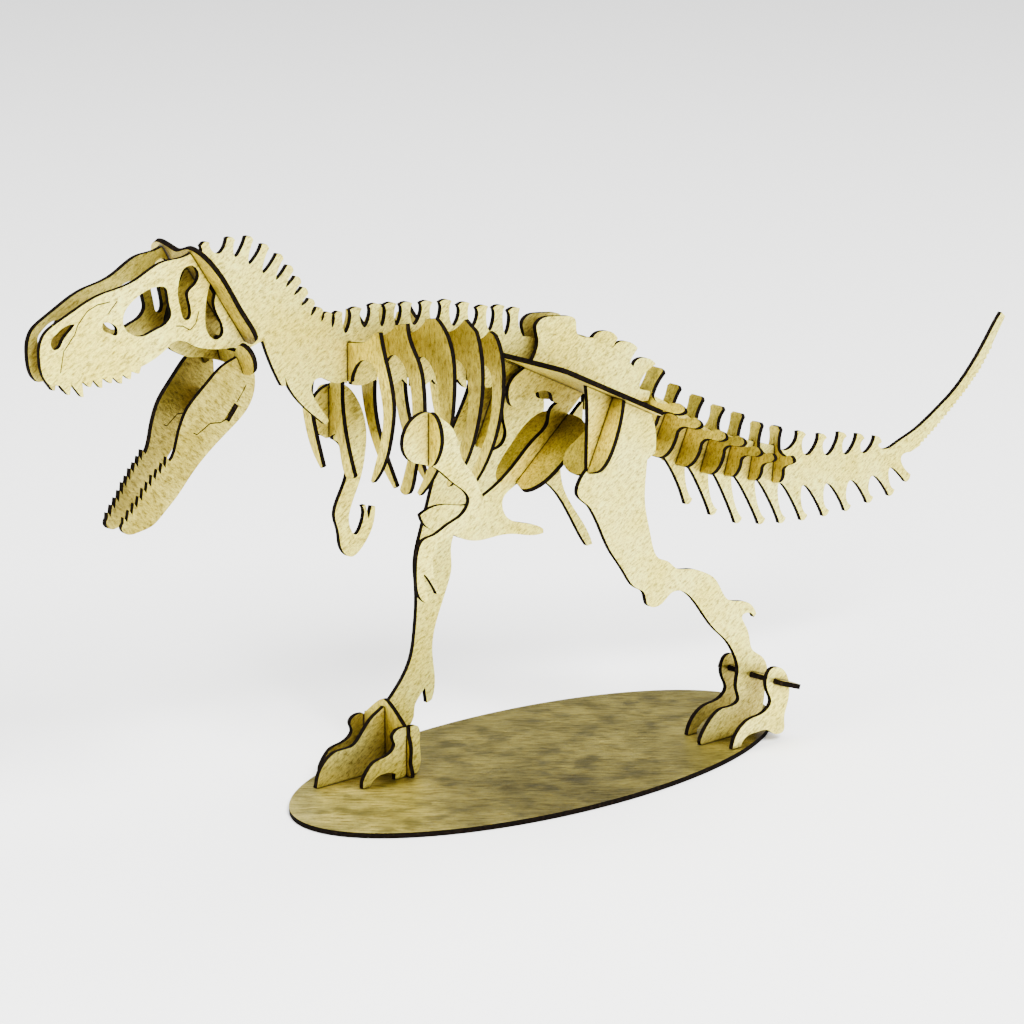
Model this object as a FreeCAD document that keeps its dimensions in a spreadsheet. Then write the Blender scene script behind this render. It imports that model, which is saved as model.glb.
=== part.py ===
import FreeCAD, Part
import math
import os

# Flat-pack wooden dinosaur skeleton: thin sheet plates pushed together with cross slots.
# +Z up, the animal looks along -X, its left side is -Y. Origin: middle of the base underside.

os.makedirs("parts", exist_ok=True)
doc = FreeCAD.newDocument("dinosaur_puzzle")
V = FreeCAD.Vector

SIZES = [
    ("sheet_thickness", 2.0, "all plates are cut from one sheet"),
    ("slot_width", 2.3, "cross slot, wider than the sheet by the saw kerf"),
    ("end_gap", 0.12, "gap left where two half slots meet"),
    ("base_half_length", 113.5, "oval base"),
    ("base_half_width", 55.0, "oval base"),
    ("leg_offset", 30.0, "legs, from the middle plane"),
    ("arm_offset", 27.0, "arms, from the middle plane"),
    ("ilium_offset", 3.7, "upper hip bones, from the middle plane"),
    ("toe_spread", 12.0, "side toes, from the leg plate"),
    ("pelvis_front_x", -22.0, "front edge of the pelvis plate"),
    ("pelvis_front_z", 163.0, "front edge of the pelvis plate"),
    ("pelvis_length", 57.5, "pelvis plate along its slope"),
    ("pelvis_half_width", 38.0, "pelvis plate"),
    ("pelvis_pitch", 26.0, "slope of the pelvis plate, degrees"),
    ("first_rib_x", -92.9, "front rib plate"),
    ("rib_pitch", 14.45, "rib plate spacing"),
    ("skull_tip_x", -236.0, "snout"),
    ("skull_back_x", -148.0, "back of the skull"),
    ("skull_tip_y", 3.3, "skull plates from the middle plane at the snout"),
    ("skull_back_y", 9.4, "skull plates from the middle plane at the back"),
    ("jaw_tip_x", -201.5, "lower jaw tip"),
    ("jaw_back_x", -152.5, "lower jaw at its hinge end"),
    ("jaw_tip_y", 4.4, "jaw plates from the middle plane at the tip"),
    ("jaw_back_y", 10.6, "jaw plates from the middle plane at the back"),
]
sheet = doc.addObject("Spreadsheet::Sheet", "sizes")
for row, (word, value, note) in enumerate(SIZES, 1):
    sheet.set("A%d" % row, word)
    sheet.set("B%d" % row, str(value))
    sheet.set("C%d" % row, note)
    sheet.setAlias("B%d" % row, word)
doc.recompute()


def size(word):
    return float(sheet.get(word))


T = size("sheet_thickness")
KERF = size("slot_width")
GAP = size("end_gap")
PITCH = math.radians(size("pelvis_pitch"))


# ---- outline helpers ----
# An outline is a list of points; a third entry marks a corner. Between two corners the
# run is a straight line when nothing lies between them and a smooth curve otherwise.

def add_outline(sketch, points):
    corners = [i for i, p in enumerate(points) if len(p) > 2]
    flat = [V(p[0], p[1], 0) for p in points]
    if not corners:
        curve = Part.BSplineCurve()
        curve.interpolate(flat, PeriodicFlag=True)
        sketch.addGeometry(curve, False)
        return
    count = len(points)
    for n, start in enumerate(corners):
        stop = corners[(n + 1) % len(corners)]
        if stop <= start:
            stop += count
        run = [flat[i % count] for i in range(start, stop + 1)]
        if len(run) == 2:
            sketch.addGeometry(Part.LineSegment(run[0], run[1]), False)
            continue
        curve = Part.BSplineCurve()
        curve.interpolate(run)
        sketch.addGeometry(curve, False)


def box(x0, z0, x1, z1):
    return [(x0, z0, 1), (x1, z0, 1), (x1, z1, 1), (x0, z1, 1)]


def strip(ax, az, bx, bz, width):
    """Rectangle whose centre line runs from a to b."""
    length = math.hypot(bx - ax, bz - az)
    nx = -(bz - az) / length * width / 2
    nz = (bx - ax) / length * width / 2
    return [(ax + nx, az + nz, 1), (bx + nx, bz + nz, 1), (bx - nx, bz - nz, 1), (ax - nx, az - nz, 1)]


def crest(tips, roots, tip_half, stem_half, bulge=0.8):
    """Row of blunt spines: tips[i] stands between roots[i] and roots[i + 1]."""
    points = []
    for i, tip in enumerate(tips):
        left = roots[i]
        right = roots[i + 1]
        foot = ((left[0] + right[0]) / 2, (left[1] + right[1]) / 2)
        dx = tip[0] - foot[0]
        dz = tip[1] - foot[1]
        reach = math.hypot(dx, dz)
        dx /= reach
        dz /= reach
        sx = dz
        sz = -dx
        side = (right[0] - left[0]) * sx + (right[1] - left[1]) * sz
        if side < 0:
            sx = -sx
            sz = -sz
        mid = (foot[0] + dx * reach * 0.55, foot[1] + dz * reach * 0.55)
        points.append((left[0], left[1]))
        points.append((mid[0] - sx * stem_half, mid[1] - sz * stem_half))
        points.append((tip[0] - sx * tip_half - dx * bulge, tip[1] - sz * tip_half - dz * bulge, 1))
        points.append((tip[0], tip[1]))
        points.append((tip[0] + sx * tip_half - dx * bulge, tip[1] + sz * tip_half - dz * bulge, 1))
        points.append((mid[0] + sx * stem_half, mid[1] + sz * stem_half))
    return points


def mirrored(half):
    """Close a half outline (y <= 0) with its mirror image."""
    far = [(-p[0],) + tuple(p[1:]) for p in reversed(half) if abs(p[0]) > 0.001]
    return list(half) + far


# ---- plates ----

def origin_plane(body, role):
    return [f for f in body.Origin.OriginFeatures if f.Role == role][0]


def plate(name, role, outline, cuts=(), slots=(), place=None):
    """One sheet plate. cuts are outlines taken right through it, slots are cross slots."""
    body = doc.addObject("PartDesign::Body", name)
    body.Label = name
    sketch = body.newObject("Sketcher::SketchObject", name + "_outline")
    sketch.AttachmentSupport = [(origin_plane(body, role), "")]
    sketch.MapMode = "FlatFace"
    add_outline(sketch, outline)
    pad = body.newObject("PartDesign::Pad", name + "_sheet")
    pad.Profile = sketch
    pad.SideType = "Symmetric"
    pad.setExpression("Length", "sizes.sheet_thickness")
    sketch.Visibility = False
    for kind, loops in (("windows", cuts), ("slots", slots)):
        if not loops:
            continue
        cut_sketch = body.newObject("Sketcher::SketchObject", name + "_" + kind)
        cut_sketch.AttachmentSupport = [(origin_plane(body, role), "")]
        cut_sketch.MapMode = "FlatFace"
        for loop in loops:
            add_outline(cut_sketch, loop)
        pocket = body.newObject("PartDesign::Pocket", name + "_" + kind + "_cut")
        pocket.Profile = cut_sketch
        pocket.SideType = "Symmetric"
        pocket.setExpression("Length", "3 * sizes.sheet_thickness")
        cut_sketch.Visibility = False
    if place is not None:
        body.Placement = place
    return body


def beside(offset):
    """Plate standing lengthwise, moved sideways."""
    return FreeCAD.Placement(V(0, offset, 0), FreeCAD.Rotation())


def across(x, z, tilt):
    """Plate standing crosswise, tilted about the Y axis (positive leans backwards)."""
    return FreeCAD.Placement(V(x, 0, z), FreeCAD.Rotation(V(0, 1, 0), tilt))


def splayed(back_x, back_y, tip_x, tip_y, side):
    """Lengthwise plate that closes in towards its tip; side is -1 left, +1 right."""
    angle = math.degrees(math.atan2(back_y - tip_y, back_x - tip_x)) * side
    turn = FreeCAD.Placement(V(back_x, side * back_y, 0), FreeCAD.Rotation(V(0, 0, 1), angle))
    return turn * FreeCAD.Placement(V(-back_x, 0, 0), FreeCAD.Rotation())


def lean(x, z, tilt, w):
    """Point at height w on the trace of a crosswise plate."""
    a = math.radians(tilt)
    return (x + w * math.sin(a), z + w * math.cos(a))


def trace_slot(x, z, tilt, w0, w1):
    """Slot in a lengthwise plate along the trace of a crosswise plate."""
    a = lean(x, z, tilt, w0)
    b = lean(x, z, tilt, w1)
    return strip(a[0], a[1], b[0], b[1], KERF)


def up_slot(y, w0, w1):
    """Slot in a crosswise plate along its own height."""
    return box(y - KERF / 2, w0, y + KERF / 2, w1)


def pelvis_point(s, lift=0.0):
    x = size("pelvis_front_x") + s * math.cos(PITCH) + lift * math.sin(PITCH)
    z = size("pelvis_front_z") - s * math.sin(PITCH) + lift * math.cos(PITCH)
    return (x, z)


def pelvis_slot(s0, s1):
    """Slot in a lengthwise plate along the pelvis plate."""
    a = pelvis_point(s0)
    b = pelvis_point(s1)
    return strip(a[0], a[1], b[0], b[1], KERF)


# ---- places of the crosswise plates ----
SKULL_BACK = (-159.5, 207.75, -33.0)
JAW_CROSS = (-153.0, 186.0, -20.0)
JAW_LAP = 0.0
JAW_TAB = -3.5
JAW_BRACE = (-156.3, 165.9, 38.0)
RIB_X = [size("first_rib_x") + i * size("rib_pitch") for i in range(5)]
RIB_MIDDLE = [171.5, 171.0, 169.5, 167.5, 163.5]
HIP_S = 36.0
ILIUM_LAP = 28.0
PUBIS_CROSS = (3.5, 123.0, 51.0)
VERTEBRAE = [
    # x, z, lean, lobe reach, lobe level, spine height, spine half width, foot half width, depth below
    (54.2, 131.3, 36.0, 23.4, 0.4, 14.4, 4.1, 11.5, 14.5),
    (66.4, 123.9, 28.0, 20.3, -0.4, 12.4, 3.1, 9.6, 16.2),
    (78.3, 116.2, 26.0, 21.4, 0.6, 13.7, 3.4, 9.8, 13.9),
    (89.9, 109.2, 22.5, 19.0, 3.0, 14.6, 3.3, 9.4, 11.8),
    (102.0, 104.9, 18.5, 16.8, 0.8, 13.8, 3.1, 7.2, 10.8),
    (114.1, 100.5, 13.0, 12.7, 0.0, 12.3, 2.9, 6.4, 10.2),
    (126.0, 96.4, 5.5, 11.3, 0.8, 12.7, 2.8, 5.7, 9.2),
]

plates = []

# ---- base ----
LEG_Y = size("leg_offset")
TOE = size("toe_spread")
NEAR_FOOT = [(-LEG_Y, 66.0, 80.0), (-LEG_Y + TOE, 62.3, 66.3), (-LEG_Y - TOE, 62.3, 66.3)]
FAR_FOOT = [(LEG_Y, -72.0, -58.0), (LEG_Y - TOE, -56.0, -52.5), (LEG_Y + TOE, -56.0, -52.5)]
FAR_CROSS_X = -49.5
base = doc.addObject("PartDesign::Body", "base")
base.Label = "base"
oval = base.newObject("Sketcher::SketchObject", "base_outline")
oval.AttachmentSupport = [(origin_plane(base, "XY_Plane"), "")]
oval.MapMode = "FlatFace"
oval.addGeometry(Part.Ellipse(V(0, 0, 0), size("base_half_length"), size("base_half_width")), False)
base_pad = base.newObject("PartDesign::Pad", "base_sheet")
base_pad.Profile = oval
base_pad.setExpression("Length", "sizes.sheet_thickness")
foot_holes = base.newObject("Sketcher::SketchObject", "base_foot_slots")
foot_holes.AttachmentSupport = [(origin_plane(base, "XY_Plane"), "")]
foot_holes.MapMode = "FlatFace"
for y, x0, x1 in NEAR_FOOT + FAR_FOOT:
    add_outline(foot_holes, box(x0 - 0.15, y - KERF / 2, x1 + 0.15, y + KERF / 2))
for y in (LEG_Y - 6.0, LEG_Y + 6.0):
    add_outline(foot_holes, box(FAR_CROSS_X - KERF / 2, y - 2.65, FAR_CROSS_X + KERF / 2, y + 2.65))
foot_cut = base.newObject("PartDesign::Pocket", "base_foot_cut")
foot_cut.Profile = foot_holes
foot_cut.SideType = "Symmetric"
foot_cut.setExpression("Length", "6 * sizes.sheet_thickness")
oval.Visibility = False
foot_holes.Visibility = False
plates.append(base)

# ---- neck and back ----
back_tips = [(-159.0, 225.3), (-146.9, 225.3), (-138.3, 224.3), (-131.0, 220.3), (-124.2, 215.6),
             (-119.5, 210.7), (-115.8, 205.9), (-112.6, 201.4), (-109.6, 197.0), (-106.2, 193.6),
             (-102.6, 191.4), (-98.0, 190.9), (-89.5, 191.1), (-80.3, 191.0), (-73.0, 190.2),
             (-65.4, 189.2), (-55.6, 188.1), (-46.2, 187.0), (-37.4, 184.6), (-28.2, 182.0),
             (-20.0, 180.8), (-12.5, 178.6)]
back_roots = [(-163.0, 219.0), (-152.5, 220.3), (-145.4, 218.0), (-139.1, 214.5), (-132.8, 210.3),
              (-126.8, 206.9), (-122.3, 203.6), (-118.6, 200.1), (-115.2, 195.8), (-110.8, 191.4),
              (-105.8, 188.5), (-100.8, 185.4), (-94.6, 182.4), (-85.6, 183.0), (-77.2, 182.0),
              (-70.2, 181.0), (-61.8, 180.0), (-51.6, 178.4), (-42.3, 176.5), (-32.9, 174.6),
              (-24.5, 171.8), (-16.5, 169.0), (-8.0, 167.0)]
neck_tips = back_tips[:12]
neck_roots = back_roots[:13]
trunk_tips = back_tips[12:]
trunk_roots = back_roots[12:]
p_up = pelvis_point(33.5, 1.15)
p_low = pelvis_point(14.0, -1.15)
spine_outline = (
    [(-168.5, 216.5, 1)]
    + crest(neck_tips, neck_roots, 1.9, 1.8)
    + crest(trunk_tips, trunk_roots, 2.9, 2.0)
    + [(-8.0, 167.0, 1), (0.5, 164.5), (p_up[0] + 0.5, p_up[1] + 7, 1), (p_up[0], p_up[1], 1)]
    + [(p_low[0] + 4, p_low[1] - 2, 1), (p_low[0] + 1, p_low[1] - 7, 1)]
    + [(-15.5, 150.0), (-20.0, 153.5, 1), (-25.0, 150.5), (-29.5, 154.5, 1)]
    + [(-35.0, 152.0), (-40.5, 156.5, 1), (-46.0, 154.0), (-53.0, 158.5, 1)]
    + [(-60.0, 156.5), (-67.5, 161.0, 1), (-74.0, 159.5), (-80.5, 163.0, 1)]
    + [(-87.0, 162.0), (-96.0, 165.0, 1), (-103.0, 166.5), (-108.0, 168.0), (-110.5, 166.5)]
    + [(-109.0, 160.0), (-103.0, 151.5, 1), (-104.5, 150.5, 1), (-113.5, 158.0), (-119.5, 164.5)]
    + [(-124.5, 177.0, 1), (-123.5, 172.0), (-122.8, 168.0, 1), (-124.5, 168.0, 1), (-128.7, 175.7)]
    + [(-133.0, 186.0, 1), (-139.0, 184.5), (-147.0, 181.8, 1), (-150.6, 181.9), (-160.0, 184.5)]
    + [(-167.0, 185.7), (-172.0, 188.0), (-176.0, 191.0), (-177.0, 197.0), (-174.0, 207.0)]
)
spine_slots = [trace_slot(*SKULL_BACK, 0.0, 24.0), trace_slot(*JAW_CROSS, -12.0, JAW_LAP)]
for x, middle in zip(RIB_X, RIB_MIDDLE):
    spine_slots.append(trace_slot(x, middle, 0.0, -22.0, 0.0))
spine_slots.append(pelvis_slot(9.0, 42.0))
plates.append(plate("neck_and_back_plate", "XZ_Plane", spine_outline, (), spine_slots))

# ---- tail ----
sacral_spines = [
    (26.5, 159.6), (29.0, 161.7), (32.9, 162.3), (37.4, 161.2), (40.6, 158.3, 1), (38.8, 156.3),
    (37.3, 154.3, 1), (38.2, 155.2), (40.3, 156.4), (44.0, 156.6), (47.9, 155.3), (51.1, 152.8, 1),
    (48.6, 150.3), (46.6, 146.9), (46.9, 144.2, 1), (48.4, 145.4), (50.0, 147.7), (52.5, 148.6),
    (55.0, 148.4), (58.1, 147.2), (60.6, 145.0, 1), (55.1, 142.4), (52.5, 139.4), (52.2, 136.2, 1)]
rear_tips = [(140.9, 104.6), (152.8, 101.4), (164.1, 100.0), (174.5, 97.4), (184.8, 94.4)]
rear_roots = [(131.6, 98.6), (143.0, 94.6), (154.5, 92.5), (165.0, 91.0), (175.2, 89.8), (186.5, 89.5)]
chevron_tips = [(202.5, 74.1), (193.0, 69.7), (180.6, 69.0), (167.8, 68.0), (155.5, 68.2), (143.1, 68.8),
                (130.9, 69.9), (119.5, 71.7), (106.6, 74.5), (92.9, 80.3), (79.3, 87.1)]
chevron_roots = [(197.5, 83.2), (191.0, 80.6), (180.3, 79.0), (167.8, 79.5), (154.3, 80.6), (141.2, 82.4),
                 (128.0, 85.8), (115.0, 89.6), (102.0, 93.6), (89.5, 98.0), (76.7, 102.1), (65.5, 108.0)]
whip_top = [(186.5, 89.5), (195.3, 90.4), (204.8, 93.4), (217.2, 99.4), (227.6, 105.5), (236.2, 112.5)]
whip_bottom = [(249.8, 121.2), (242.3, 112.2), (234.6, 105.5), (226.0, 99.2), (216.5, 92.7), (207.0, 87.0)]
tail_top = [lean(x, z, tilt, 4.5) for x, z, tilt in [row[:3] for row in VERTEBRAE[1:]]]
t_up = pelvis_point(37.5, 1.1)
t_low = pelvis_point(51.0, -1.15)
saw = []
for i in range(len(whip_bottom) - 1):
    ax, az = whip_bottom[i]
    bx, bz = whip_bottom[i + 1]
    for k in range(5):
        f = k / 5.0
        saw.append((ax + (bx - ax) * f, az + (bz - az) * f, 1))
        f += 0.07
        saw.append((ax + (bx - ax) * f + 0.5, az + (bz - az) * f - 0.8, 1))
tail_outline = (
    [(t_up[0] + 0.5, t_up[1] + 6, 1), (12.5, 156.5)]
    + [(20.0, 158.5), (25.0, 158.8, 1)]
    + sacral_spines
    + tail_top
    + crest(rear_tips, rear_roots, 2.6, 1.7)
    + whip_top[:-1]
    + [(236.2, 112.5), (244.9, 121.7), (251.5, 129.8), (255.2, 133.8, 1), (257.4, 131.8, 1)]
    + saw
    + [(203.1, 85.2, 1)]
    + crest(chevron_tips, chevron_roots, 1.9, 1.6)
    + [(65.5, 108.0, 1), (57.0, 112.0), (48.0, 118.5), (40.0, 126.0)]
    + [(32.0, 131.5), (t_low[0], t_low[1] - 6, 1), (t_low[0], t_low[1] + 4, 1), (t_up[0], t_up[1], 1)]
)
tail_slots = [pelvis_slot(30.0, 48.8)]
tail_slots += [trace_slot(*row[:3], -6.0, 9.0) for row in VERTEBRAE]
plates.append(plate("tail_plate", "XZ_Plane", tail_outline, (), tail_slots))

# ---- tail vertebra plates ----
for n, (x, z, tilt, reach, level, high, stem, foot, deep) in enumerate(VERTEBRAE, 1):
    top = level + 1.5
    under = level - 1.5
    half = [(0, high, 1), (1.0 - stem, high, 1), (-stem, high - 1.1, 1), (-stem * 0.8, high * 0.5)]
    half += [(-stem * 0.95, top + 1.6, 1), (-stem - 2.2, top - 0.1)]
    half += [(-reach * 0.6, top - 0.4), (-reach + 1.8, top + 0.3), (-reach, level)]
    half += [(-reach + 1.6, under + 0.1), (-(reach + foot) / 2, under - 0.4), (-foot - 1.3, under - 1.2)]
    half += [(-foot, under - 3.0, 1), (-foot * 1.02, -deep * 0.62)]
    half += [(-foot * 0.84, -deep * 0.9), (-foot * 0.4, -deep, 1)]
    slot = [up_slot(0, -deep - 3, -6.0 + GAP)]
    name = "tail_vertebra_%d" % n
    plates.append(plate(name, "YZ_Plane", mirrored(half), (), slot, across(x, z, tilt)))

# ---- ribs: half outlines in (y, z), left side ----
ribs = [
    [(0, 178.5, 1), (-2.5, 179.0), (-8.9, 180.1), (-15.6, 184.8, 1), (-18.0, 185.3, 1), (-20.3, 176.9),
     (-23.1, 168.9), (-24.9, 160.1), (-23.9, 150.1), (-20.9, 139.7), (-14.1, 129.5, 1), (-13.2, 130.2, 1),
     (-18.6, 145.8), (-20.1, 156.0), (-18.3, 165.4), (-14.6, 173.0), (-9.8, 174.0), (-4.9, 170.5),
     (-2.5, 164.5, 1), (0, 164.5, 1)],
    [(0, 178.5, 1), (-3.3, 179.4), (-11.0, 184.5, 1), (-16.3, 185.9, 1), (-18.6, 178.1), (-22.6, 171.8),
     (-24.6, 164.3), (-25.2, 154.5, 1), (-30.5, 155.0), (-34.0, 149.0), (-32.5, 140.0), (-27.5, 135.6),
     (-22.5, 138.0), (-20.5, 134.0), (-13.4, 123.1, 1), (-12.5, 124.0, 1), (-17.0, 137.0), (-19.4, 152.0),
     (-18.5, 163.0), (-14.7, 171.0), (-9.8, 173.5), (-4.9, 170.0), (-2.5, 164.0, 1), (0, 164.0, 1)],
    [(0, 177.5, 1), (-3.2, 178.2), (-10.9, 184.4, 1), (-15.7, 185.4, 1), (-21.3, 180.3), (-24.6, 171.5),
     (-24.9, 158.3), (-22.6, 144.0), (-16.5, 130.0), (-7.0, 118.0, 1), (-5.8, 119.0, 1), (-11.5, 129.0),
     (-17.4, 144.0), (-17.8, 157.0), (-14.6, 166.4), (-8.9, 170.3), (-4.5, 167.0), (-2.5, 161.0, 1),
     (0, 161.0, 1)],
    [(0, 176.0, 1), (-6.8, 176.6), (-15.4, 182.7, 1), (-21.1, 179.1, 1), (-23.9, 169.0), (-23.9, 155.8),
     (-20.5, 141.0), (-14.0, 127.0), (-6.5, 118.5, 1), (-5.5, 119.5, 1), (-11.4, 131.4), (-16.3, 144.4),
     (-17.7, 157.0), (-15.4, 165.0), (-10.6, 167.3), (-5.0, 164.0), (-2.5, 158.5, 1), (0, 158.5, 1)],
    [(0, 172.0, 1), (-7.0, 171.5), (-12.7, 175.5, 1), (-15.5, 174.5, 1), (-18.4, 168.9), (-19.8, 158.5),
     (-17.4, 142.0), (-10.7, 126.0), (-4.9, 117.4, 1), (-2.6, 119.0, 1), (-8.5, 130.0), (-13.6, 143.0),
     (-14.6, 154.9), (-12.7, 161.5), (-9.0, 162.5), (-5.0, 159.5), (-2.5, 155.0, 1), (0, 155.0, 1)],
]
ARM_Y = size("arm_offset")
ARM_MIDDLE = 145.0
for n, (half, x, middle) in enumerate(zip(ribs, RIB_X, RIB_MIDDLE), 1):
    slots = [up_slot(0, middle - GAP, 192.0)]
    if n == 2:
        slots += [up_slot(-ARM_Y, ARM_MIDDLE, 160.0), up_slot(ARM_Y, ARM_MIDDLE, 160.0)]
    plates.append(plate("rib_plate_%d" % n, "YZ_Plane", mirrored(half), (), slots, across(x, 0, 0)))

# ---- arms ----
left_arm = [(-73.4, 152.5), (-78.5, 155.5), (-84.6, 155.2), (-90.0, 150.8), (-91.3, 144.6), (-88.1, 139.4),
            (-81.5, 136.8), (-76.5, 134.8), (-66.6, 126.9), (-59.7, 118.9), (-61.5, 115.9), (-70.2, 112.2),
            (-77.1, 109.6), (-82.1, 108.6), (-84.6, 104.0), (-85.2, 97.0), (-84.0, 88.5), (-80.5, 85.0, 1),
            (-79.3, 86.0, 1), (-81.3, 91.5), (-81.6, 96.0), (-80.0, 94.5), (-75.8, 87.2, 1),
            (-74.4, 88.0, 1), (-77.4, 96.9), (-76.0, 104.5), (-66.0, 108.5), (-54.7, 111.2), (-49.8, 114.5),
            (-53.0, 119.6), (-55.8, 125.7), (-59.0, 130.5), (-63.5, 136.2), (-64.8, 141.1), (-68.0, 148.0)]
right_arm = [(-72.4, 155.0), (-80.4, 155.5), (-86.9, 151.0), (-87.9, 143.5), (-82.9, 137.5), (-74.9, 133.5),
             (-70.4, 122.0), (-75.4, 111.0), (-76.8, 106.0), (-75.1, 100.0), (-73.7, 93.0), (-68.9, 89.0),
             (-63.4, 92.0), (-58.4, 99.0), (-57.2, 106.0, 1), (-58.9, 106.5, 1), (-60.4, 101.5, 1),
             (-62.0, 107.5, 1), (-63.6, 107.3, 1), (-63.9, 100.0), (-66.7, 97.0), (-69.9, 101.5),
             (-69.6, 106.5), (-64.5, 117.5), (-61.9, 127.0), (-61.4, 137.0), (-65.4, 148.0)]
for name, side, outline in (("left_arm", -1, left_arm), ("right_arm", 1, right_arm)):
    slot = [trace_slot(RIB_X[1], ARM_MIDDLE + GAP, 0, -16.0, 0.0)]
    plates.append(plate(name, "XZ_Plane", outline, (), slot, beside(side * ARM_Y)))

# ---- skull ----
skull_outline = [
    (-171.9, 224.4, 1), (-175.8, 223.5), (-183.8, 223.0), (-189.2, 221.0), (-195.9, 218.0),
    (-202.5, 216.5), (-209.1, 215.5), (-215.8, 213.4), (-222.4, 210.5), (-228.9, 207.6),
    (-232.6, 205.2), (-234.6, 201.5), (-234.9, 196.3), (-233.7, 190.5), (-230.5, 186.8, 1)]
teeth_top = [(-227.2, 186.6), (-222.4, 186.2), (-218.0, 186.6), (-213.5, 186.3), (-209.6, 186.5),
             (-205.4, 186.1), (-201.2, 186.4), (-197.4, 186.8), (-193.4, 187.8)]
tooth_tips = [(-223.4, 182.6), (-217.8, 181.0), (-214.6, 184.0), (-210.0, 183.0), (-206.0, 184.0),
              (-201.8, 183.2), (-198.1, 184.2), (-194.5, 185.6)]
for root, tip in zip(teeth_top, tooth_tips):
    skull_outline += [(root[0], root[1], 1), (tip[0] - 0.5, tip[1], 1), (tip[0] + 0.3, tip[1], 1)]
skull_outline += [
    (-193.4, 187.8, 1), (-188.5, 189.4), (-181.5, 193.2, 1), (-178.4, 194.6), (-175.0, 194.0),
    (-171.0, 191.8), (-166.3, 190.1), (-159.5, 188.9), (-152.7, 188.8), (-149.2, 189.3, 1)]
back_edge = [lean(*SKULL_BACK, w) for w in (-7.0, 7.0)]
a33 = math.radians(33.0)
tab = (math.cos(a33) * 2.6, math.sin(a33) * 2.6)
nudge = (-math.cos(a33) * 1.1, -math.sin(a33) * 1.1)
low_root = (back_edge[0][0] + nudge[0], back_edge[0][1] + nudge[1])
high_root = (back_edge[1][0] + nudge[0], back_edge[1][1] + nudge[1])
skull_outline += [
    (low_root[0], low_root[1], 1), (low_root[0] + tab[0], low_root[1] + tab[1], 1),
    (high_root[0] + tab[0], high_root[1] + tab[1], 1), (high_root[0], high_root[1], 1)]
skull_windows = [
    [(-221.2, 207.0), (-224.6, 206.6), (-228.1, 204.7), (-230.5, 201.5), (-229.3, 199.2), (-227.2, 199.4),
     (-225.0, 202.4)],
    [(-208.7, 205.5), (-205.5, 204.9), (-202.9, 202.0), (-203.2, 200.6), (-206.2, 201.4), (-209.2, 204.0)],
    [(-183.6, 214.6), (-190.7, 214.2), (-196.0, 211.6), (-199.4, 208.6), (-200.6, 205.1), (-199.6, 201.8),
     (-196.5, 199.4), (-192.3, 198.4), (-187.6, 199.6), (-182.5, 201.4), (-180.4, 204.0), (-181.2, 208.5)],
    [(-172.8, 220.4), (-169.5, 219.0), (-168.4, 216.2), (-170.0, 213.4), (-172.9, 211.0), (-172.3, 206.4),
     (-173.2, 201.4), (-174.9, 201.7), (-176.3, 205.0), (-177.5, 210.1), (-176.9, 215.6), (-175.2, 219.2)],
    [(-163.9, 212.6), (-165.3, 208.2), (-166.1, 202.1), (-165.6, 196.6), (-161.6, 192.6), (-158.7, 193.8),
     (-158.6, 197.0), (-160.9, 201.9), (-161.9, 206.6), (-161.5, 209.6)]]
SKULL_SPLAY = [size(word) for word in ("skull_back_x", "skull_back_y", "skull_tip_x", "skull_tip_y")]
for name, side in (("skull_left", -1), ("skull_right", 1)):
    place = splayed(*SKULL_SPLAY, side)
    plates.append(plate(name, "XZ_Plane", skull_outline, skull_windows, (), place))

rear_half = [(0, 19.5), (-4.0, 21.0), (-8.5, 22.3), (-12.8, 20.5), (-16.4, 14.5), (-17.5, 5.0),
             (-17.2, -6.0), (-17.6, -14.0), (-16.6, -18.6), (-13.0, -21.3), (-9.0, -20.5),
             (-5.5, -16.5), (0, -13.0)]
back_x, back_y, tip_x, tip_y = SKULL_SPLAY
skull_y = tip_y + (back_y - tip_y) * (SKULL_BACK[0] - tip_x) / (back_x - tip_x)
rear_slots = [up_slot(0, -30.0, 0.0 + GAP)]
for side in (-1, 1):
    rear_slots.append(box(side * skull_y - 1.35, -7.3, side * skull_y + 1.35, 7.3))
plates.append(plate("skull_rear_plate", "YZ_Plane", mirrored(rear_half), (), rear_slots, across(*SKULL_BACK)))

# ---- lower jaw ----
jaw_outline = [
    (-202.0, 131.0), (-200.2, 129.0), (-195.2, 128.9), (-189.5, 130.4), (-184.3, 134.6), (-179.7, 138.9),
    (-173.8, 145.6), (-166.2, 153.0), (-157.5, 159.7), (-151.6, 164.4), (-148.1, 168.9), (-146.6, 173.7),
    (-146.5, 177.7), (-148.3, 185.0, 1), (-150.5, 186.0, 1), (-156.0, 184.4), (-160.0, 182.6),
    (-164.6, 178.9), (-170.4, 173.7), (-174.5, 169.3), (-176.9, 164.7), (-178.4, 160.4), (-179.6, 156.0),
    (-181.1, 153.0, 1)]
jaw_teeth = [(-182.9, 153.4), (-184.7, 151.4), (-186.7, 149.5), (-188.9, 147.8), (-190.7, 145.5),
             (-192.7, 143.6), (-194.5, 141.1), (-196.5, 138.9), (-198.5, 136.7), (-200.7, 134.4)]
for tip in jaw_teeth:
    jaw_outline += [(tip[0] + 0.9, tip[1] - 1.3, 1), (tip[0] - 0.4, tip[1] + 0.6, 1)]
jaw_outline += [(-201.2, 133.0, 1)]
jaw_slots = [trace_slot(*JAW_CROSS, JAW_TAB, 9.0), trace_slot(*JAW_BRACE, -3.3, 3.3)]
JAW_SPLAY = [size(word) for word in ("jaw_back_x", "jaw_back_y", "jaw_tip_x", "jaw_tip_y")]
for name, side in (("lower_jaw_left", -1), ("lower_jaw_right", 1)):
    place = splayed(*JAW_SPLAY, side)
    plates.append(plate(name, "XZ_Plane", jaw_outline, (), jaw_slots, place))
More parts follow.
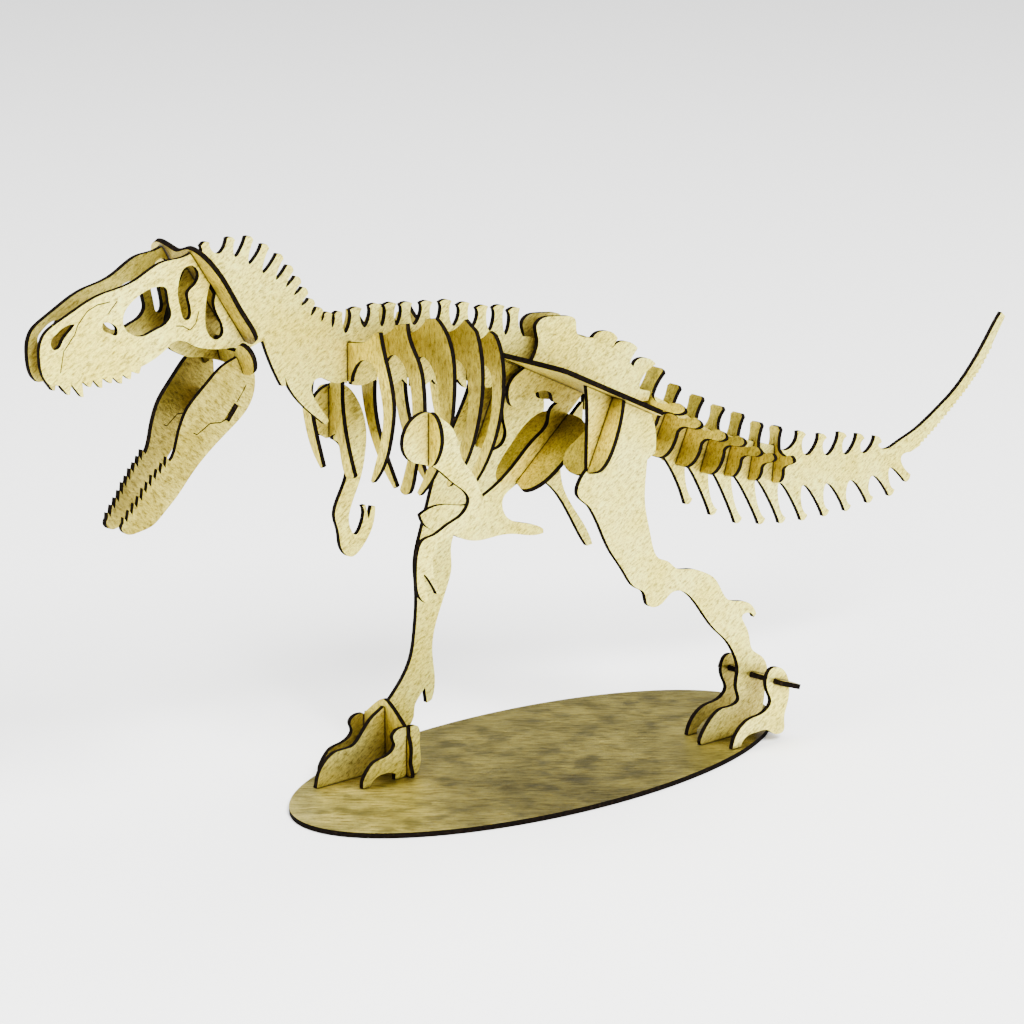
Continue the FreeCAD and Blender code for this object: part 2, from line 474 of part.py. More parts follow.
jaw_cross_half = [(0, 5.5, 1), (-5.5, 5.5, 1), (-6.9, 1.8, 1), (-11.2, 1.8, 1), (-13.5, 4.6, 1), (-16.5, 4.8),
                  (-18.8, 3.0), (-19.5, -1.0), (-17.0, -6.0), (-12.0, -7.0, 1), (-9.0, -7.0, 1),
                  (-5.0, -4.5), (0, -4.0)]
jaw_cross_slots = [up_slot(0, JAW_LAP - GAP, 9.0)]
for side in (-1, 1):
    jaw_cross_slots.append(box(side * 10.6 - 1.3, -9.0, side * 10.6 + 1.3, JAW_TAB + GAP))
plates.append(plate("jaw_hinge_plate", "YZ_Plane", mirrored(jaw_cross_half), (), jaw_cross_slots,
                    across(*JAW_CROSS)))
brace_half = [(0, 5.5, 1), (-8.3, 5.5, 1), (-8.3, 3.0, 1), (-11.2, 3.0, 1), (-11.2, -3.0, 1),
              (-8.3, -3.0, 1), (-8.3, -5.5, 1), (0, -5.5, 1)]
plates.append(plate("jaw_brace_plate", "YZ_Plane", mirrored(brace_half), (), (), across(*JAW_BRACE)))

# ---- pelvis plate ----
ILIUM_Y = size("ilium_offset")
LONG = size("pelvis_length")
WIDE = size("pelvis_half_width")
pelvis_outline = [
    (0, -WIDE + 2, 1), (2, -WIDE, 1), (LONG - 2, -WIDE, 1), (LONG, -WIDE + 2, 1),
    (LONG, WIDE - 2, 1), (LONG - 2, WIDE, 1), (2, WIDE, 1), (0, WIDE - 2, 1)]
pelvis_slots = [box(-2, -KERF / 2, 9.0 + GAP, KERF / 2), box(48.8 - GAP, -KERF / 2, LONG + 2, KERF / 2)]
for side in (-1, 1):
    pelvis_slots += [
        box(-2, side * ILIUM_Y - KERF / 2, ILIUM_LAP + GAP, side * ILIUM_Y + KERF / 2),
        box(40.85, side * LEG_Y - KERF / 2, 48.15, side * LEG_Y + KERF / 2),
        box(HIP_S - KERF / 2, side * LEG_Y - 4.15, HIP_S + KERF / 2, side * LEG_Y + 4.15)]
pelvis_slots.append(box(42.85, -KERF / 2, 46.65, KERF / 2))
slope = FreeCAD.Placement(V(size("pelvis_front_x"), 0, size("pelvis_front_z")),
                          FreeCAD.Rotation(V(0, 1, 0), size("pelvis_pitch")))
plates.append(plate("pelvis_plate", "XY_Plane", pelvis_outline, (), pelvis_slots, slope))

# ---- upper hip bones ----
ilium_outline = [
    (2.2, 173.5), (-2.0, 173.2), (-4.5, 171.2), (-3.8, 166.5), (-4.5, 161.5), (-7.8, 157.3),
    (-12.9, 154.9), (-16.6, 152.6), (-18.4, 149.5), (-18.4, 145.8), (-17.1, 143.0), (-14.5, 142.0),
    (-7.0, 145.1), (-0.2, 145.8), (3.2, 143.6), (4.2, 140.9), (6.6, 140.0), (13.4, 139.2),
    (17.5, 140.4, 1)]
for s, lift in ((46.5, -1.15), (ILIUM_LAP, -1.15), (ILIUM_LAP, 1.15), (57.0, 1.15)):
    ilium_outline.append(pelvis_point(s, lift) + (1,))
ilium_outline += [
    (42.0, 134.6), (53.1, 132.8, 1), (54.2, 136.2, 1), (48.6, 138.0, 1), (44.5, 147.9), (33.9, 156.4),
    (24.2, 161.8), (15.8, 165.5), (15.2, 170.0), (9.0, 172.6)]
for name, side in (("ilium_left", -1), ("ilium_right", 1)):
    plates.append(plate(name, "XZ_Plane", ilium_outline, (), (), beside(side * ILIUM_Y)))

# ---- hip cross plates, hanging at right angles under the pelvis plate ----
TILT = size("pelvis_pitch")
HIP = pelvis_point(HIP_S) + (TILT,)
TAB_TOP = 1.0
SEAT = -T / 2 - 0.1
HIP_LEG = -15.0
hip_half = [
    (-25.5, SEAT, 1), (-26.0, SEAT, 1), (-26.0, TAB_TOP, 1), (-34.0, TAB_TOP, 1), (-34.0, SEAT, 1),
    (-36.0, SEAT, 1), (-38.0, -9.0), (-38.8, -18.0), (-38.2, -24.5), (-36.0, -28.6), (-31.0, -30.5),
    (-25.5, -32.2), (-20.5, -31.3), (-17.2, -28.3), (-17.0, -24.5), (-20.0, -20.3), (-23.0, -15.2),
    (-25.0, -8.3)]
for name, side in (("hip_cross_left", 1), ("hip_cross_right", -1)):
    outline = [(side * p[0],) + p[1:] for p in hip_half]
    slot = [up_slot(-side * LEG_Y, -35.0, HIP_LEG + GAP)]
    plates.append(plate(name, "YZ_Plane", outline, (), slot, across(*HIP)))

# ---- pubis and ischium ----
pubis_tab = [pelvis_point(s, w) + (1,) for s, w in ((43.0, 1.0), (46.5, 1.0), (46.5, -4.3))]
pubis_outline = [(14.2, 139.2, 1)] + pubis_tab + [
    (22.3, 139.2, 1), (22.6, 133.0), (21.5, 127.0), (18.1, 121.7, 1), (12.0, 117.5), (11.5, 110.0),
    (21.5, 92.1), (27.8, 80.9, 1), (25.2, 80.6, 1), (14.0, 98.0), (2.0, 110.5), (-5.0, 113.0), (-13.0, 110.5),
    (-18.0, 107.0), (-17.4, 101.4), (-8.2, 95.9), (2.5, 91.5, 1), (2.5, 90.0, 1), (-5.0, 90.5), (-13.2, 92.6),
    (-21.6, 93.3), (-29.9, 93.3), (-39.0, 95.8), (-44.0, 98.8, 1), (-50.0, 100.5), (-56.5, 104.0),
    (-59.0, 108.4, 1), (-55.4, 109.8), (-46.4, 110.0), (-35.7, 108.0), (-27.9, 109.7), (-11.9, 118.7),
    (-0.6, 127.3), (5.0, 131.8), (6.2, 136.2), (10.1, 138.8)]
pubis_slots = [trace_slot(*PUBIS_CROSS, 0.0, 26.0)]
plates.append(plate("pubis_and_ischium_plate", "XZ_Plane", pubis_outline, (), pubis_slots))
cross_half = [(0, 15.5), (-6.0, 15.5), (-11.5, 13.5), (-14.5, 8.0), (-14.5, -2.0), (-13.5, -11.0),
              (-10.5, -18.0), (-6.0, -20.5), (0, -18.5)]
plates.append(plate("pubis_cross_plate", "YZ_Plane", mirrored(cross_half), (),
                    [up_slot(0, -24.0, 0.0 + GAP)], across(*PUBIS_CROSS)))

# ---- legs ----
leg_seat = [(20.5, SEAT), (41.0, SEAT), (41.0, 1.0), (48.0, 1.0), (48.0, SEAT), (57.0, SEAT)]
leg_top = [pelvis_point(s, w) + (1,) for s, w in leg_seat]
left_leg = leg_top + [
    (31.5, 127.0), (31.0, 121.5, 1), (27.0, 119.5, 1), (26.2, 112.0), (25.9, 104.3), (28.8, 91.0),
    (34.1, 80.0), (38.0, 78.4), (42.5, 74.8), (50.0, 73.0), (57.4, 70.3), (63.7, 66.1),
    (70.5, 56.9), (78.1, 54.8),
    (85.8, 48.2, 1), (84.5, 47.2, 1), (81.5, 49.6), (78.4, 49.2), (81.0, 43.0), (83.8, 34.5), (88.8, 30.8),
    (92.1, 24.8), (91.3, 20.4), (90.5, 13.0), (88.4, 6.5), (86.2, 2.1, 1), (80.0, 2.1, 1), (80.0, 0.05, 1),
    (66.0, 0.05, 1), (66.0, 2.1, 1), (56.8, 2.1, 1), (56.3, 3.5, 1), (61.5, 10.6), (68.0, 14.1), (74.2, 14.2),
    (77.0, 15.6), (75.9, 20.3), (76.6, 27.5), (74.8, 33.7), (69.4, 41.4), (63.6, 46.6), (52.4, 60.1),
    (44.9, 65.5), (40.0, 65.5), (35.6, 62.6), (30.4, 62.0), (27.8, 63.5), (26.0, 68.4), (22.0, 71.0),
    (15.6, 78.5), (8.2, 88.4), (1.2, 101.5), (-2.4, 107.0, 1), (-5.5, 109.5),
    (-8.5, 113.0), (-7.5, 117.0), (-3.5, 121.0, 1), (-3.5, 130.0), (-3.3, 145.0)]
right_leg = leg_top + [
    (30.0, 124.0), (22.0, 114.0), (12.0, 106.0), (-2.0, 98.0), (-12.0, 91.0), (-16.8, 82.0), (-16.6, 74.0),
    (-18.8, 67.0), (-22.0, 60.0), (-25.2, 52.0), (-26.4, 43.0), (-25.2, 33.0), (-26.8, 24.4, 1),
    (-29.2, 23.6, 1), (-30.2, 30.0, 1), (-33.0, 27.0), (-35.3, 24.0), (-36.0, 19.5), (-38.6, 15.5),
    (-41.5, 9.0), (-44.0, 2.1, 1), (-58.0, 2.1, 1), (-58.0, 0.05, 1), (-72.0, 0.05, 1), (-72.0, 2.1, 1),
    (-84.4, 2.1, 1), (-83.9, 4.0, 1), (-80.7, 10.5), (-74.9, 14.0), (-65.5, 14.9), (-61.8, 18.2),
    (-55.9, 23.8), (-50.0, 27.0), (-45.6, 30.8), (-40.3, 36.7), (-37.0, 42.5), (-34.8, 53.0),
    (-33.9, 62.5), (-34.2, 72.2),
    (-34.6, 78.8), (-32.5, 88.0), (-28.3, 100.0), (-24.0, 112.0), (-15.0, 128.0), (-6.5, 143.0)]
BAR = (83.6, 24.6)
BAR_PITCH = 19.5
bar_dir = (math.cos(math.radians(BAR_PITCH)), -math.sin(math.radians(BAR_PITCH)))


def bar_slot(s0, s1):
    return strip(BAR[0] + bar_dir[0] * s0, BAR[1] + bar_dir[1] * s0,
                 BAR[0] + bar_dir[0] * s1, BAR[1] + bar_dir[1] * s1, KERF)


hip_leg_slot = trace_slot(*HIP, HIP_LEG, 4.0)
plates.append(plate("left_leg", "XZ_Plane", left_leg, (), [hip_leg_slot, bar_slot(4.0, 14.0)],
                    beside(-LEG_Y)))
plates.append(plate("right_leg", "XZ_Plane", right_leg, (),
                    [hip_leg_slot, box(FAR_CROSS_X - KERF / 2, 15.0, FAR_CROSS_X + KERF / 2, 36.0)],
                    beside(LEG_Y)))

# ---- left foot: two side toes and the bar through them ----
side_toe = [
    (86.0, 29.6), (81.6, 29.4), (79.9, 26.9), (80.2, 21.7), (82.2, 16.5), (77.8, 13.0), (71.5, 12.2),
    (65.0, 8.8), (62.0, 4.0), (61.6, 2.1, 1), (62.3, 2.1, 1), (62.3, 0.05, 1), (66.3, 0.05, 1),
    (66.3, 3.4, 1)]
inner_toe = side_toe + [
    (70.0, 6.0), (76.9, 8.0), (83.8, 9.6), (88.0, 12.0), (90.0, 18.0), (89.5, 25.0)]
outer_toe = side_toe + [
    (69.5, 5.8), (74.5, 6.3), (80.3, 5.8), (84.6, 3.3), (89.2, 3.7), (89.4, 8.1), (91.3, 14.8), (91.1, 24.5),
    (88.0, 28.6)]
plates.append(plate("left_inner_toe", "XZ_Plane", inner_toe, (), [bar_slot(3.0, 14.0)], beside(-LEG_Y + TOE)))
plates.append(plate("left_outer_toe", "XZ_Plane", outer_toe, (), [bar_slot(3.0, 14.0)], beside(-LEG_Y - TOE)))
bar_outline = [(0, -47.0, 1), (10.8, -47.0, 1), (11.5, -40.0), (11.5, -20.0), (10.8, -13.0, 1), (0, -13.0, 1),
               (-0.6, -20.0), (-0.6, -40.0)]
bar_slots = [box(-2, -LEG_Y - KERF / 2, 4.0 + GAP, -LEG_Y + KERF / 2)]
for y in (-LEG_Y + TOE, -LEG_Y - TOE):
    bar_slots.append(box(-2, y - KERF / 2, 3.0 + GAP, y + KERF / 2))
bar_place = FreeCAD.Placement(V(BAR[0], 0, BAR[1]), FreeCAD.Rotation(V(0, 1, 0), BAR_PITCH))
plates.append(plate("left_foot_bar", "XY_Plane", bar_outline, (), bar_slots, bar_place))

# ---- right foot: two side toes and the cross plate over them ----
right_toe = [
    (-44.7, 20.5), (-49.8, 21.3), (-55.5, 20.8), (-57.0, 19.0), (-56.0, 15.7), (-59.6, 12.3), (-66.5, 10.8),
    (-70.2, 7.5), (-72.0, 4.2), (-72.0, 2.1, 1), (-69.0, 2.1, 1), (-65.0, 5.2), (-60.0, 5.6), (-56.0, 4.5, 1),
    (-56.0, 0.05, 1), (-52.5, 0.05, 1), (-52.5, 2.1, 1), (-45.5, 2.1, 1), (-43.3, 7.2), (-43.8, 13.1)]
toe_top_slot = box(FAR_CROSS_X - KERF / 2, 11.5, FAR_CROSS_X + KERF / 2, 30.0)
plates.append(plate("right_inner_toe", "XZ_Plane", right_toe, (), [toe_top_slot], beside(LEG_Y - TOE)))
plates.append(plate("right_outer_toe", "XZ_Plane", right_toe, (), [toe_top_slot], beside(LEG_Y + TOE)))
far_half = [(0, 29.3), (-3.0, 28.0), (-7.5, 24.4), (-11.4, 20.6), (-13.7, 16.5), (-14.5, 11.5), (-14.2, 7.0),
            (-15.2, 3.6), (-15.3, 2.1, 1), (-8.5, 2.1, 1), (-8.5, 0.05, 1), (-3.5, 0.05, 1),
            (-3.5, 2.1, 1), (0, 2.1, 1)]
far_outline = [(p[0] + LEG_Y,) + tuple(p[1:]) for p in mirrored(far_half)]
far_slots = [up_slot(LEG_Y, -2.0, 15.0 + GAP)]
for y in (LEG_Y - TOE, LEG_Y + TOE):
    far_slots.append(up_slot(y, -2.0, 11.5 + GAP))
plates.append(plate("right_foot_cross_plate", "YZ_Plane", far_outline, (), far_slots,
                    across(FAR_CROSS_X, 0, 0)))

doc.recompute()
for item in doc.Objects:
    if "Invalid" in item.State or "Error" in item.State:
        raise RuntimeError("object failed: " + item.Name)
for body in plates:
    shape = body.Shape
    if shape.isNull() or not shape.isValid():
        raise RuntimeError("bad shape: " + body.Label)
    if len(shape.Solids) != 1:
        raise RuntimeError("%s has %d solids" % (body.Label, len(shape.Solids)))
    shape.exportStep("parts/%s.step" % body.Label)
print(len(plates), "plates written")
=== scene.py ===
import math
import bpy
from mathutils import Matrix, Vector


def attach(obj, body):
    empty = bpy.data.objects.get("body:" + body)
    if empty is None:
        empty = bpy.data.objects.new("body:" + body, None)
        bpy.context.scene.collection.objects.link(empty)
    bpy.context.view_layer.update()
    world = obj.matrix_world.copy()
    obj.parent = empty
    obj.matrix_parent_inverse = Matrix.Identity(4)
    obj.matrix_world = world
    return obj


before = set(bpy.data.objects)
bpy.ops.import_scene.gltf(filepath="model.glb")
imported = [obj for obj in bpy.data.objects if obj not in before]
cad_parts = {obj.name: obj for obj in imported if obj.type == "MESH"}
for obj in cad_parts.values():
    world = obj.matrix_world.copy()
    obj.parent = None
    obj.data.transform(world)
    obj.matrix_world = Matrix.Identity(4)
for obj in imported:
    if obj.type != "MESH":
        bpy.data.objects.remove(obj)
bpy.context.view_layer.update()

# Metres throughout, apart from the engraved lines, which are laid out in millimetres.
MM_PER_M = 1000.0

# ---- camera: from the front left, a little above ----
CAMERA_TURN = math.radians(-43.0)
CAMERA_RISE = math.radians(15.4)
CAMERA_DISTANCE = 2.0
CAMERA_TARGET = Vector((-0.0126, 0.0, 0.1007))
LENS_MM = 189.8
FILM_MM = 36.0
FARTHEST_SEEN = 50.0


def add_camera():
    towards = Vector((math.sin(CAMERA_TURN) * math.cos(CAMERA_RISE),
                      -math.cos(CAMERA_TURN) * math.cos(CAMERA_RISE),
                      math.sin(CAMERA_RISE)))
    data = bpy.data.cameras.new("camera")
    data.lens = LENS_MM
    data.sensor_width = FILM_MM
    data.clip_end = FARTHEST_SEEN
    camera = bpy.data.objects.new("camera", data)
    bpy.context.scene.collection.objects.link(camera)
    camera.location = CAMERA_TARGET + towards * CAMERA_DISTANCE
    camera.rotation_euler = (CAMERA_TARGET - camera.location).to_track_quat("-Z", "Y").to_euler()
    bpy.context.scene.camera = camera


add_camera()

# ---- node material helpers ----
# The Mix node has a factor, two inputs and a result for each data type; these are the colour ones.
MIX_FACTOR = 0
MIX_FIRST = 6
MIX_SECOND = 7
MIX_RESULT = 2


def new_material(name):
    material = bpy.data.materials.new(name)
    material.use_nodes = True
    return material, material.node_tree, material.node_tree.nodes["Principled BSDF"]


def feed(tree, socket, value):
    """Link an output to a socket, or set the socket's own value."""
    if isinstance(value, bpy.types.NodeSocket):
        tree.links.new(value, socket)
    else:
        socket.default_value = value


def add_node(tree, kind, inputs):
    node = tree.nodes.new(kind)
    for name, value in inputs.items():
        feed(tree, node.inputs[name], value)
    return node


def object_space(tree, scale=(1, 1, 1), turn=(0, 0, 0)):
    """The object's own coordinates, turned and then stretched along the turned axes."""
    own = tree.nodes.new("ShaderNodeTexCoord")
    turned = add_node(tree, "ShaderNodeMapping", {"Vector": own.outputs["Object"], "Rotation": turn})
    scaled = add_node(tree, "ShaderNodeMapping", {"Vector": turned.outputs["Vector"], "Scale": scale})
    return scaled.outputs["Vector"]


def noise(tree, vector, scale, detail, rough):
    inputs = {"Vector": vector, "Scale": scale, "Detail": detail, "Roughness": rough}
    return add_node(tree, "ShaderNodeTexNoise", inputs).outputs["Fac"]


def ramp(tree, factor, stops):
    node = add_node(tree, "ShaderNodeValToRGB", {"Fac": factor})
    elements = node.color_ramp.elements
    while len(elements) < len(stops):
        elements.new(0.5)
    for element, (place, colour) in zip(elements, stops):
        element.position = place
        element.color = colour
    return node.outputs["Color"]


def mix(tree, kind, factor, first, second):
    node = tree.nodes.new("ShaderNodeMix")
    node.data_type = "RGBA"
    node.blend_type = kind
    feed(tree, node.inputs[MIX_FACTOR], factor)
    feed(tree, node.inputs[MIX_FIRST], first)
    feed(tree, node.inputs[MIX_SECOND], second)
    return node.outputs[MIX_RESULT]


def add_bump(tree, shader, height, strength, depth):
    bump = add_node(tree, "ShaderNodeBump", {"Height": height, "Strength": strength, "Distance": depth})
    tree.links.new(bump.outputs["Normal"], shader.inputs["Normal"])


def nearness(tree, reach, stops):
    """Colour by how much of the space within reach is taken up by other plates."""
    occlusion = add_node(tree, "ShaderNodeAmbientOcclusion", {"Distance": reach})
    return ramp(tree, occlusion.outputs["AO"], stops)


# ---- gold foil faces ----
WHITE = (1, 1, 1, 1)
BLACK = (0, 0, 0, 1)
# Each share is how far its tones take over from the colour beneath them.
WHOLLY = 1.0
# Streak tones: darker troughs are the foil's crinkle grain; the tone above white is a painted glint
# along the streaks.
STREAK_AND_GLINT_TONES = [(0.38, (0.36, 0.32, 0.20, 1)), (0.48, (0.95, 0.94, 0.88, 1)), (0.64, (1.5, 1.5, 1.5, 1))]
STREAK_AND_GLINT_SHARE = 0.9
GRIT_TONES = [(0.34, (0.62, 0.58, 0.46, 1)), (0.5, WHITE)]
GRIT_SHARE = 0.6
# Painted shade: the colour darkens where other plates crowd close, deep between plates and under
# overhangs.
RECESS_SHADE_TONES = [(0.3, (0.24, 0.185, 0.09, 1)), (0.78, WHITE)]
RECESS_SHADE_SHARE = 0.8
RECESS_SHADE_REACH = 0.03
SLOT_MARGIN_TONES = [(0.55, (0.03, 0.022, 0.012, 1)), (0.8, WHITE)]
SLOT_MARGIN_SHARE = 0.95
SLOT_MARGIN_REACH = 0.0013
FOIL_METAL = 0.96
FOIL_GLOSS = [(0.3, (0.52, 0.52, 0.52, 1)), (0.7, (0.24, 0.24, 0.24, 1))]
FOIL_GRAIN = 1100.0
BASE_GRAIN = 620.0
SPOT_STRETCH = (0.8, 1.1, 1)
SPOT_SHARE = 0.85
SPOT_COLOUR = (0.07, 0.057, 0.008, 1)
# Painted light on the base: a brighter pool towards its front end.
FRONT_LIGHT_START_X = -0.03
FRONT_LIGHT_FULL_X = -0.10
FRONT_LIGHT_GAIN = (1.9, 1.95, 2.6, 1)


def mottled(tree, colour, turn):
    """Soft dark olive spots."""
    spots = noise(tree, object_space(tree, SPOT_STRETCH, turn), scale=95.0, detail=4.0, rough=0.55)
    mask = ramp(tree, spots, [(0.5, BLACK), (0.66, (SPOT_SHARE, SPOT_SHARE, SPOT_SHARE, 1))])
    return mix(tree, "MIX", mask, colour, SPOT_COLOUR)


def painted_front_light(tree, colour):
    """Painted light: the base foil brightens towards its front end, under the head."""
    place = add_node(tree, "ShaderNodeSeparateXYZ", {"Vector": object_space(tree)})
    front = add_node(tree, "ShaderNodeMapRange", {
        "Value": place.outputs["X"], "From Min": FRONT_LIGHT_START_X, "From Max": FRONT_LIGHT_FULL_X})
    front_lit = mix(tree, "MULTIPLY", WHOLLY, colour, FRONT_LIGHT_GAIN)
    return mix(tree, "MIX", front.outputs["Result"], colour, front_lit)


def foil(name, light, deep, stretch, turn=(0, 0, 0), grain=FOIL_GRAIN, spots_and_front_light=False):
    """Crinkled gold foil: slow tone changes, fine streaks with painted glints, and grit; painted shade
    deep between plates.
    """
    material, tree, shader = new_material(name)
    even = object_space(tree)
    clouds = noise(tree, even, scale=45.0, detail=3.0, rough=0.55)
    tone = ramp(tree, clouds, [(0.34, deep), (0.62, light)])
    streaks = noise(tree, object_space(tree, stretch, turn), scale=grain, detail=6.0, rough=0.75)
    # Foil grain with painted glints.
    colour = mix(tree, "MULTIPLY", STREAK_AND_GLINT_SHARE, tone, ramp(tree, streaks, STREAK_AND_GLINT_TONES))
    grit = noise(tree, even, scale=2200.0, detail=2.0, rough=0.6)
    colour = mix(tree, "MULTIPLY", GRIT_SHARE, colour, ramp(tree, grit, GRIT_TONES))
    if spots_and_front_light:
        # Dark spots of the base itself, then painted light towards the front.
        colour = painted_front_light(tree, mottled(tree, colour, turn))
    # Painted shade deep between plates and under overhangs.
    deep_shade = nearness(tree, RECESS_SHADE_REACH, RECESS_SHADE_TONES)
    colour = mix(tree, "MULTIPLY", RECESS_SHADE_SHARE, colour, deep_shade)
    slot_margin = nearness(tree, SLOT_MARGIN_REACH, SLOT_MARGIN_TONES)
    colour = mix(tree, "MULTIPLY", SLOT_MARGIN_SHARE, colour, slot_margin)
    tree.links.new(colour, shader.inputs["Base Color"])
    shader.inputs["Metallic"].default_value = FOIL_METAL
    tree.links.new(ramp(tree, streaks, FOIL_GLOSS), shader.inputs["Roughness"])
    add_bump(tree, shader, streaks, strength=0.9, depth=0.0004)
    return material


# ---- scorched edges ----
SCORCH_TONES = [(0.35, (0.001, 0.0007, 0.0005, 1)), (0.6, (0.004, 0.0026, 0.0016, 1)),
                (0.76, (0.035, 0.02, 0.009, 1))]
SCORCH_ROUGHNESS = 0.9
SCORCH_SHINE = 0.02


def scorched(name):
    """Laser-cut edge: nearly black, with fine brown scorch marks."""
    material, tree, shader = new_material(name)
    marks = noise(tree, object_space(tree), scale=700.0, detail=5.0, rough=0.7)
    tree.links.new(ramp(tree, marks, SCORCH_TONES), shader.inputs["Base Color"])
    shader.inputs["Roughness"].default_value = SCORCH_ROUGHNESS
    shader.inputs["Specular IOR Level"].default_value = SCORCH_SHINE
    add_bump(tree, shader, marks, strength=0.4, depth=0.0002)
    return material


# ---- one foil for each group of plates; each gold is (lightest, deepest); the lengthwise, crosswise and jaw golds are one foil in lit and shaded copies: painted light on the lengthwise plates, painted shade on the crosswise plates and the jaw ----
LENGTHWISE_LIT_GOLD = ((0.96, 0.87, 0.22, 1), (0.82, 0.71, 0.11, 1))
CROSSWISE_SHADED_GOLD = ((0.70, 0.58, 0.07, 1), (0.36, 0.285, 0.022, 1))
JAW_SHADED_GOLD = ((0.52, 0.44, 0.09, 1), (0.34, 0.275, 0.035, 1))
BASE_GOLD = ((0.32, 0.265, 0.05, 1), (0.14, 0.115, 0.016, 1))
SLANTED = (0, math.radians(28), 0)
JAW_SLANTED = (0, math.radians(-40), 0)
BASE_TURNED = (0, 0, math.radians(43))

# Painted light and shade: the same foil, lit on the lengthwise plates and shaded on the crosswise plates
# and the jaw.
lengthwise_lit_foil = foil("foil_lengthwise_lit", *LENGTHWISE_LIT_GOLD, (0.35, 1.0, 1.0), SLANTED)
crosswise_shaded_foil = foil("foil_crosswise_shaded", *CROSSWISE_SHADED_GOLD, (1.0, 1.0, 0.4))
jaw_shaded_foil = foil("foil_jaw_shaded", *JAW_SHADED_GOLD, (0.35, 1.0, 1.0), JAW_SLANTED)
base_foil = foil("foil_base", *BASE_GOLD, (0.22, 1.0, 1.0), BASE_TURNED, BASE_GRAIN, spots_and_front_light=True)
edge = scorched("scorched_edge")

CROSSWISE = ("rib_plate", "tail_vertebra", "skull_rear", "jaw_hinge", "jaw_brace", "hip_cross",
             "pubis_cross", "right_foot_cross", "left_foot_bar")
SAME_DIRECTION = 0.995
ON_THE_FACE = 0.9


def sheet_normal(mesh):
    """Direction with the most face area behind it: the sheet's own normal."""
    sums = []
    for polygon in mesh.polygons:
        for entry in sums:
            if abs(entry[0].dot(polygon.normal)) > SAME_DIRECTION:
                entry[1] += polygon.area
                break
        else:
            sums.append([polygon.normal.copy(), polygon.area])
    return max(sums, key=lambda entry: entry[1])[0]


def face_foil(name):
    if name == "base":
        return base_foil
    if name.startswith("lower_jaw"):
        return jaw_shaded_foil
    if name.startswith(CROSSWISE):
        return crosswise_shaded_foil
    return lengthwise_lit_foil


for name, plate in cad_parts.items():
    mesh = plate.data
    mesh.materials.clear()
    mesh.materials.append(face_foil(name))
    mesh.materials.append(edge)
    normal = sheet_normal(mesh)
    for polygon in mesh.polygons:
        polygon.material_index = 0 if abs(polygon.normal.dot(normal)) > ON_THE_FACE else 1

# ---- engraved suture lines on the skull and jaw sides, millimetres ----
# The side plates splay: (back x, back y, tip x, tip y) of the plate's middle.
SKULL_SPLAY = (-148.0, 9.4, -236.0, 3.3)
JAW_SPLAY = (-152.5, 10.6, -201.5, 4.4)
HALF_SHEET = 1.0
LINE_LIFT = 0.02
HALF_LINE = 0.21
STEPS = 6
# Points are (x, z).
SKULL_LINES = [
    [(-205.8, 212.5), (-211.0, 212.2), (-215.2, 210.6), (-219.3, 206.2), (-220.4, 203.4),
     (-225.2, 198.0), (-226.7, 190.7)],
    [(-202.8, 212.3), (-206.6, 208.5)],
    [(-178.4, 199.9), (-175.7, 199.5), (-172.6, 197.6), (-170.2, 199.5), (-168.7, 203.8)]]
JAW_LINES = [
    [(-150.3, 175.0), (-152.0, 172.3), (-154.3, 169.3)],
    [(-157.2, 164.3), (-161.0, 163.0), (-165.3, 163.3), (-170.7, 160.1), (-172.2, 160.9)]]


def subdivided(points):
    path = []
    for start, end in zip(points, points[1:]):
        for k in range(STEPS):
            f = k / STEPS
            path.append((start[0] + (end[0] - start[0]) * f, start[1] + (end[1] - start[1]) * f))
    path.append(points[-1])
    return path


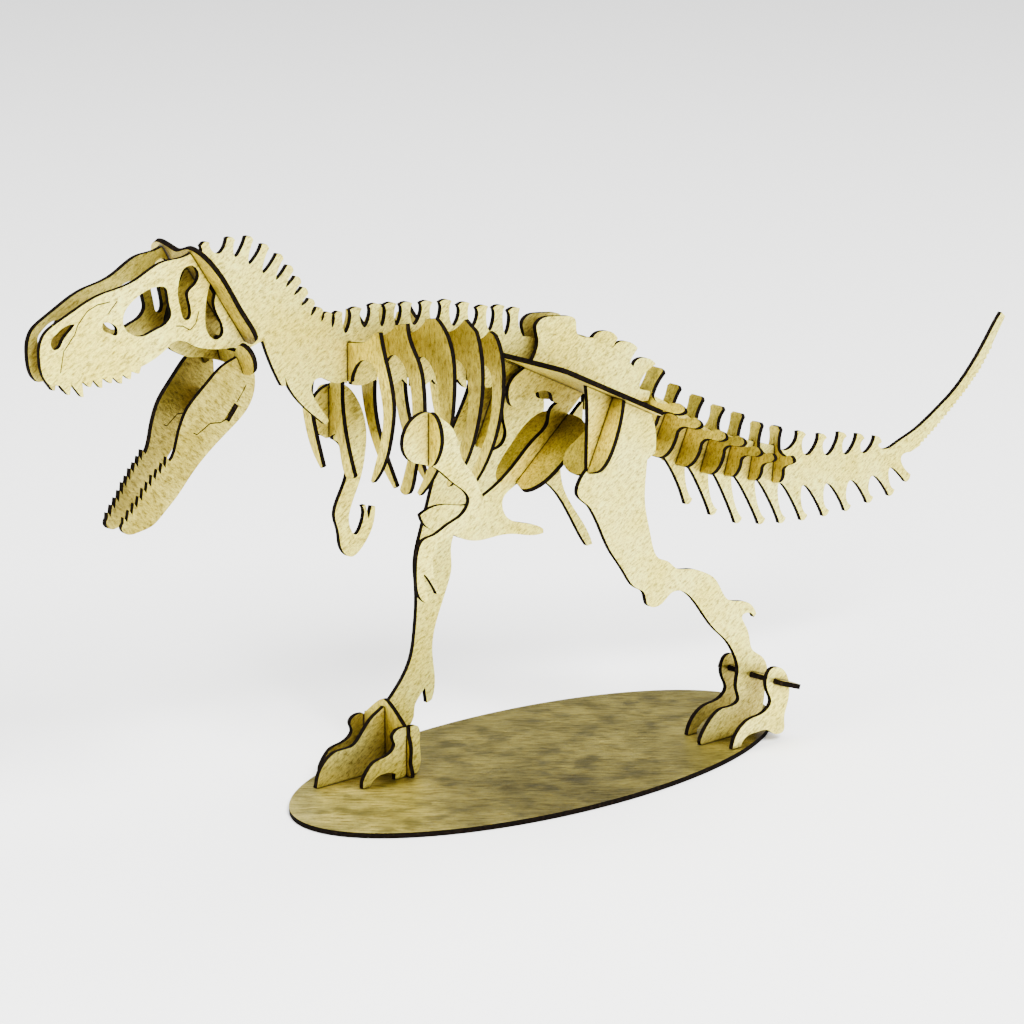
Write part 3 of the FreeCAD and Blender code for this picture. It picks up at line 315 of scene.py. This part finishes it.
def engraved(name, body, points, side, splay, face=1):
    """Thin burnt line on a splayed side plate. side is -1 left, +1 right; face is +1 outer, -1 inner."""
    back_x, back_y, tip_x, tip_y = splay
    slope = (back_y - tip_y) / (back_x - tip_x)
    to_face = face * (HALF_SHEET / math.cos(math.atan(slope)) + LINE_LIFT)
    path = subdivided(points)
    verts = []
    faces = []
    for i, (x, z) in enumerate(path):
        ahead = path[min(i + 1, len(path) - 1)]
        behind = path[max(i - 1, 0)]
        dx = ahead[0] - behind[0]
        dz = ahead[1] - behind[1]
        length = math.hypot(dx, dz)
        for half in (HALF_LINE, -HALF_LINE):
            px = x - dz / length * half
            pz = z + dx / length * half
            py = side * (tip_y + slope * (px - tip_x) + to_face)
            verts.append((px / MM_PER_M, py / MM_PER_M, pz / MM_PER_M))
        if i:
            a = 2 * i
            faces.append((a - 2, a - 1, a + 1, a))
    mesh = bpy.data.meshes.new(name)
    mesh.from_pydata(verts, [], faces)
    mesh.materials.append(edge)
    line = bpy.data.objects.new(name, mesh)
    bpy.context.scene.collection.objects.link(line)
    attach(line, body)


for word, side in (("left", -1), ("right", 1)):
    for n, points in enumerate(SKULL_LINES, 1):
        engraved("skull_%s_suture_%d" % (word, n), "skull", points, side, SKULL_SPLAY)
    for n, points in enumerate(JAW_LINES, 1):
        engraved("jaw_%s_suture_%d" % (word, n), "lower_jaw", points, side, JAW_SPLAY)
engraved("jaw_right_inner_suture", "lower_jaw", JAW_LINES[1], 1, JAW_SPLAY, face=-1)

# ---- floor, light ----
FLOOR_SIZE = 12.0
FLOOR_LEVEL = -0.0002
FLOOR_COLOUR = (0.96, 0.96, 0.955, 1)
FLOOR_ROUGHNESS = 0.85
SKY_STRENGTH = 0.5
LIGHT_AIM = Vector((0, 0, 0.1))
LIGHTS = [
    # name, place, size, watts
    ("key", (-0.7, -1.7, 1.7), 0.9, 210.0),
    ("fill", (-1.9, 0.3, 0.9), 1.2, 40.0),
    ("top", (0.3, 0.2, 1.9), 1.4, 75.0),
]


def add_floor():
    material, _, shader = new_material("floor")
    shader.inputs["Base Color"].default_value = FLOOR_COLOUR
    shader.inputs["Roughness"].default_value = FLOOR_ROUGHNESS
    bpy.ops.mesh.primitive_plane_add(size=FLOOR_SIZE, location=(0, 0, FLOOR_LEVEL))
    floor = bpy.context.object
    floor.name = "floor"
    floor.data.materials.append(material)


def add_sky():
    world = bpy.data.worlds.new("studio")
    world.use_nodes = True
    background = world.node_tree.nodes["Background"]
    background.inputs["Color"].default_value = WHITE
    background.inputs["Strength"].default_value = SKY_STRENGTH
    bpy.context.scene.world = world


def add_soft_light(name, place, size, power):
    data = bpy.data.lights.new(name, "AREA")
    data.size = size
    data.energy = power
    lamp = bpy.data.objects.new(name, data)
    bpy.context.scene.collection.objects.link(lamp)
    lamp.location = place
    lamp.rotation_euler = (LIGHT_AIM - Vector(place)).to_track_quat("-Z", "Y").to_euler()


add_floor()
add_sky()
for light in LIGHTS:
    add_soft_light(*light)
